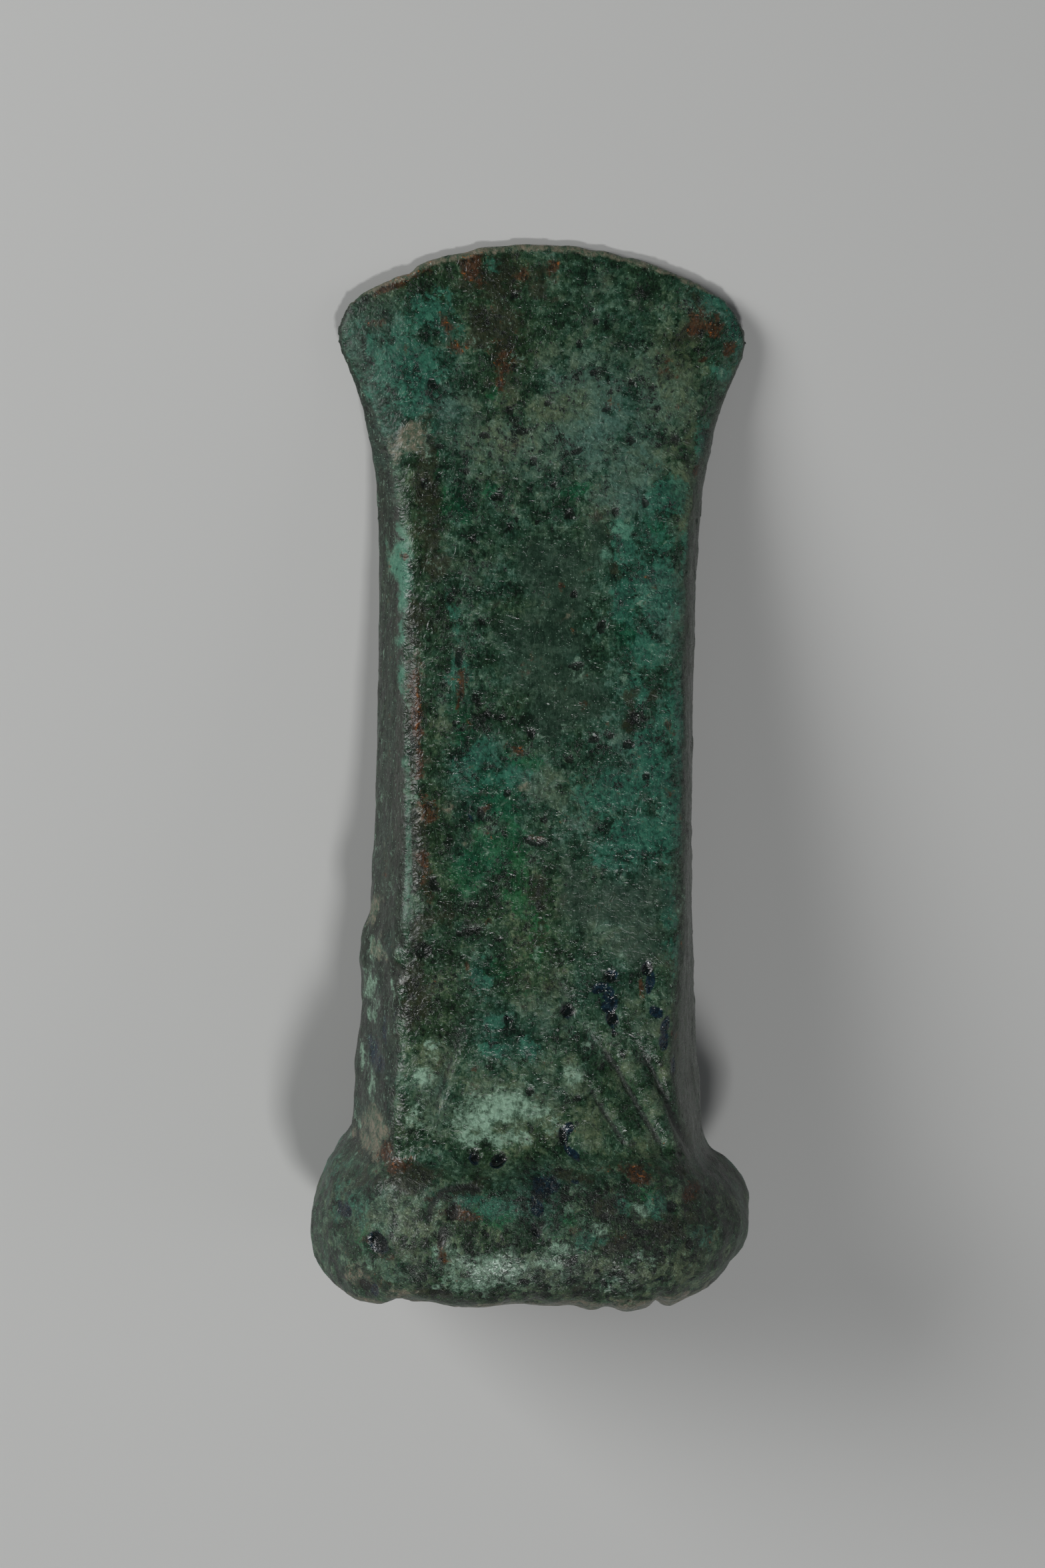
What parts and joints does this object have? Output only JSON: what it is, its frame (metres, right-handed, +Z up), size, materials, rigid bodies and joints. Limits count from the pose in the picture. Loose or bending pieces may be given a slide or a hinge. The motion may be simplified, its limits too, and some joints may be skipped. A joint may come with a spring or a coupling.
{
  "type": "bronze age axe head",
  "caption": "Socketed bronze axe head with a heavy collar round its mouth, sloping sides and a flared, curved cutting edge, lying on its back.",
  "frame": {"origin": "middle of the underside, on the surface that the head lies on", "axes": "+Y along the head from the socket's mouth towards the cutting edge, +X across the blade, +Z up, out of the face that shows"},
  "size_m": [0.051, 0.1206, 0.0365],
  "materials": {
    "bronze": "corroded bronze with a mottled green patina, semi-gloss"
  },
  "bodies": {
    "root": {"axe_head": "bronze"}
  },
  "joints": []
}
